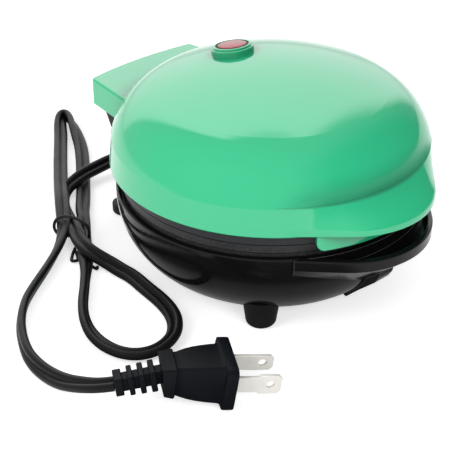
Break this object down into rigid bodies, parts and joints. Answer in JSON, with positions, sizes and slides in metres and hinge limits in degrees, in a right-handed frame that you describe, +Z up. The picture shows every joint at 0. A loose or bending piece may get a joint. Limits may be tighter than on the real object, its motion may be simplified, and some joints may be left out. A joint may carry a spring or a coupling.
{
  "type": "donut maker",
  "caption": "Compact mint-green electric donut maker: hinged domed lid with finger visor, black bowl base, moulded cooking plates, indicator lamp, bundled flat cord and plug.",
  "frame": {"origin": "on the floor under the middle of the appliance, cord and plug left out", "axes": "+Z up from the floor, +Y from the front handle to the hinge, +X to the right of a user at the handle"},
  "size_m": [0.1871, 0.246, 0.0923],
  "materials": {
    "mint_housing": "glossy moulded",
    "black_housing": "glossy moulded",
    "plate_coating": "satin non-stick",
    "element_steel": "drawn tube",
    "sheet_metal": "pressed",
    "screw_steel": "plated",
    "ceramic": "fired, dull",
    "fuse_sleeve": "woven sleeve",
    "wire_cover": "silicone",
    "dark_plastic": "fine satin",
    "foot_rubber": "dull moulded",
    "cord_cover": "soft satin",
    "tie_wire": "coated wire",
    "plug_plastic": "soft satin",
    "blade_metal": "plated",
    "red_lens": "clear tinted",
    "lamp_glass": "clear"
  },
  "bodies": {
    "base": {"base_shell": "black_housing", "lower_plate": "plate_coating", "lower_element": "element_steel", "lower_heat_shield": "sheet_metal", "lower_plate_screws": "screw_steel", "thermostat": "ceramic", "thermal_fuse": "fuse_sleeve", "terminal_block": "ceramic", "base_leads": "wire_cover", "cord_gland": "cord_cover", "cord_clamp": "dark_plastic", "hinge_pin": "screw_steel", "front_left_foot": "foot_rubber", "front_right_foot": "foot_rubber", "rear_left_foot": "foot_rubber", "rear_right_foot": "foot_rubber", "power_cord": "cord_cover", "cord_tie": "tie_wire", "plug_body": "plug_plastic", "plug_relief": "plug_plastic", "plug_blade_wide": "blade_metal", "plug_blade_narrow": "blade_metal"},
    "lid": {"lid_cover": "mint_housing", "lid_inner_ring": "dark_plastic", "upper_plate": "plate_coating", "upper_element": "element_steel", "upper_heat_shield": "sheet_metal", "upper_plate_screws": "screw_steel", "ring_screws": "screw_steel", "indicator_lens": "red_lens", "lens_clip": "sheet_metal", "neon_lamp": "lamp_glass", "lid_leads": "wire_cover"}
  },
  "joints": [
    {"name": "lid_hinge", "type": "hinge", "parent": "base", "child": "lid", "pos_m": [0, 0.07095, 0.0585], "axis": [-1, 0, 0], "range_deg": [0, 95]}
  ]
}
